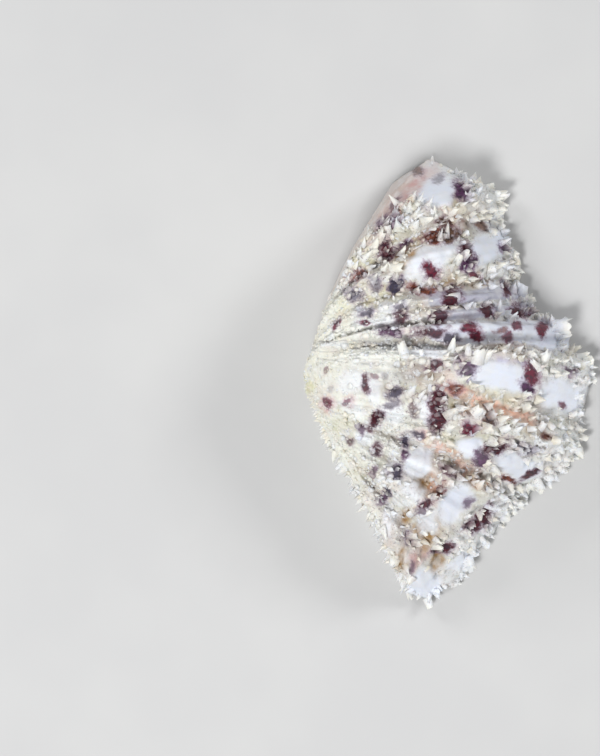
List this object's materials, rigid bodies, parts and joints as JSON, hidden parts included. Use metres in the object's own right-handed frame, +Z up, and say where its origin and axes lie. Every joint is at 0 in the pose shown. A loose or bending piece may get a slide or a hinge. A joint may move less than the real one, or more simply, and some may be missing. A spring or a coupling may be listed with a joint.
{
  "type": "bear paw clam shell valve",
  "caption": "One valve of a young bear paw clam: a ribbed, scaly dome with a toothed free margin, a flat hinge side and an open hollow underneath.",
  "frame": {"origin": "middle of the valve's box in plan, on the surface that it rests on", "axes": "+Z up through the dome, +X from the umbo to the free margin, +Y along the length to the hinge end of the margin"},
  "size_m": [0.0666, 0.1012, 0.0326],
  "materials": {
    "shell": "cream white limy shell, satin to rough outside with maroon blotches, smooth porcelain inside"
  },
  "bodies": {
    "root": {"left_valve": "shell"}
  },
  "joints": []
}
